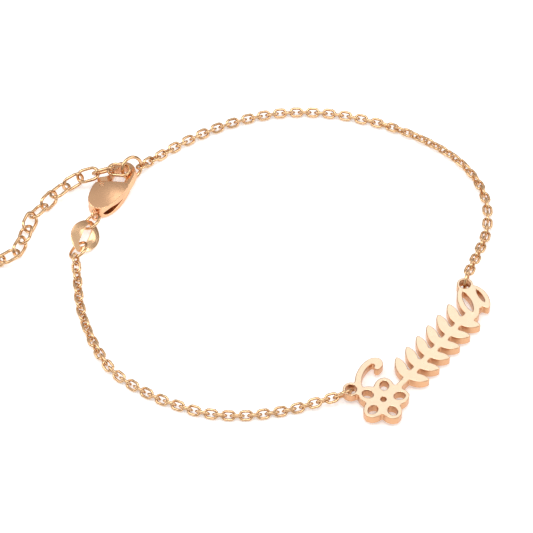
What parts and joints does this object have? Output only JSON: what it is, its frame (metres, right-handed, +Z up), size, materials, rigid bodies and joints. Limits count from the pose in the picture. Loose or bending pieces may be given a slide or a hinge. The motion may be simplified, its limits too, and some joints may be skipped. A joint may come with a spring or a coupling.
{
  "type": "nameplate bracelet",
  "caption": "Bracelet with a pierced ornament plate on cable chain, closed by a lobster clasp with an oval link and an extender chain.",
  "frame": {"origin": "centre of the underside of the closed bracelet's bounding box, on the table it lies on", "axes": "+X to the right in the picture's view, along the loop's longest extent, +Y away from the viewer across the table, +Z up"},
  "size_m": [0.0805, 0.0609, 0.0037],
  "materials": {
    "rose_gold": "polished"
  },
  "bodies": {
    "bracelet": {"name_plate": "rose_gold", "plate_ring_left": "rose_gold", "plate_ring_right": "rose_gold", "chain_left": "rose_gold", "chain_right": "rose_gold", "link_ring": "rose_gold", "oval_link": "rose_gold", "clasp_ring": "rose_gold", "clasp_body": "rose_gold", "clasp_pin": "rose_gold", "catch_ring": "rose_gold", "extender_chain": "rose_gold"},
    "lever": {"clasp_lever": "rose_gold"}
  },
  "joints": [
    {"name": "lever_hinge", "type": "hinge", "parent": "bracelet", "child": "lever", "pos_m": [-0.01988, 0.0133, 0.00122], "axis": [0, 0, 1], "range_deg": [-20, 0], "stiffness_Nm_per_rad": 0.004, "springref_deg": 5.73}
  ]
}
